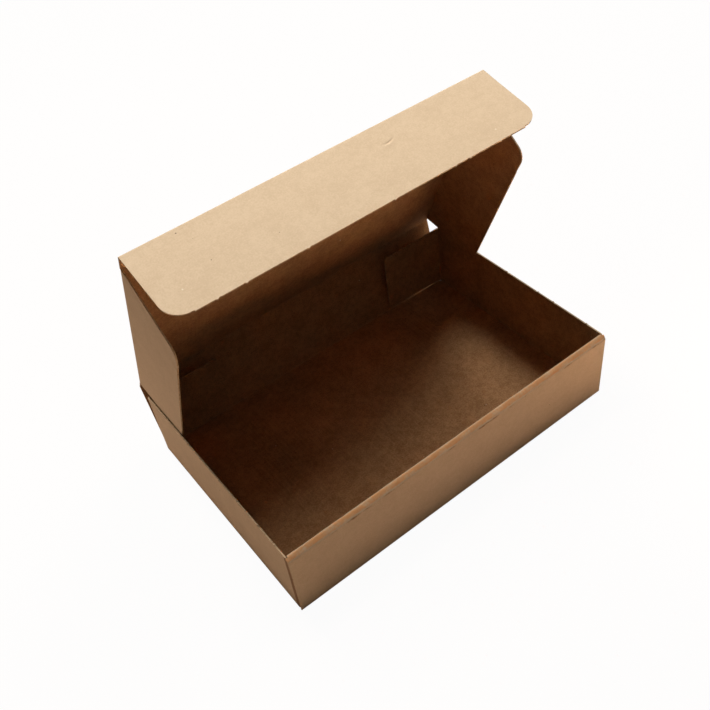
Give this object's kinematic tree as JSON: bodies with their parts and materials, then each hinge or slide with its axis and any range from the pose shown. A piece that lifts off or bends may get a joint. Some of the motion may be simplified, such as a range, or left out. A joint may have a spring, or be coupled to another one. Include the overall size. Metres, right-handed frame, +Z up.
{
  "type": "eyelash box",
  "caption": "Shallow kraft board folding carton with a hinged tuck-in lid, lid ears and corner flaps, shown open.",
  "frame": {"origin": "middle of the base's underside", "axes": "+X along the box's length to the right, +Y from the front wall to the back wall, +Z up out of the open tray"},
  "size_m": [0.1536, 0.1072, 0.1225],
  "materials": {
    "kraft_board": "uncoated brown kraft liner, matte, fine fibre mottling"
  },
  "bodies": {
    "tray": {"tray": "kraft_board"},
    "back_wall": {"back_wall": "kraft_board"},
    "lid": {"lid_panel": "kraft_board"},
    "tuck_flap": {"tuck_flap": "kraft_board"},
    "left_ear": {"left_ear": "kraft_board"},
    "right_ear": {"right_ear": "kraft_board"},
    "left_back_flap": {"left_back_flap": "kraft_board"},
    "right_back_flap": {"right_back_flap": "kraft_board"}
  },
  "joints": [
    {"name": "lid_hinge", "type": "hinge", "parent": "back_wall", "child": "lid", "pos_m": [0, 0.05664, 0.03293], "axis": [-1, 0, 0], "range_deg": [-55, 90]},
    {"name": "back_wall_tilt", "type": "hinge", "parent": "tray", "child": "back_wall", "pos_m": [0, 0.05, 0.0003], "axis": [-1, 0, 0], "range_deg": [-11.5, 19]},
    {"name": "tuck_fold", "type": "hinge", "parent": "lid", "child": "tuck_flap", "pos_m": [0, 0.01782, 0.12222], "axis": [-1, 0, 0], "range_deg": [-22, 36]},
    {"name": "left_ear_fold", "type": "hinge", "parent": "lid", "child": "left_ear", "pos_m": [-0.0753, 0.03695, 0.07745], "axis": [0, -0.3987, 0.9171], "range_deg": [0, 85]},
    {"name": "right_ear_fold", "type": "hinge", "parent": "lid", "child": "right_ear", "pos_m": [0.0753, 0.03695, 0.07745], "axis": [0, 0.3987, -0.9171], "range_deg": [0, 85]},
    {"name": "left_back_flap_fold", "type": "hinge", "parent": "tray", "child": "left_back_flap", "pos_m": [-0.0762, 0.0488, 0.0165], "axis": [0, 0, -1], "range_deg": [0, 45]},
    {"name": "right_back_flap_fold", "type": "hinge", "parent": "tray", "child": "right_back_flap", "pos_m": [0.0762, 0.0488, 0.0165], "axis": [0, 0, 1], "range_deg": [0, 45]}
  ],
  "couplings": [
    {"joint": "back_wall_tilt", "follows": "lid_hinge", "ratio": 0.20909},
    {"joint": "tuck_fold", "follows": "lid_hinge", "ratio": 0.4}
  ]
}
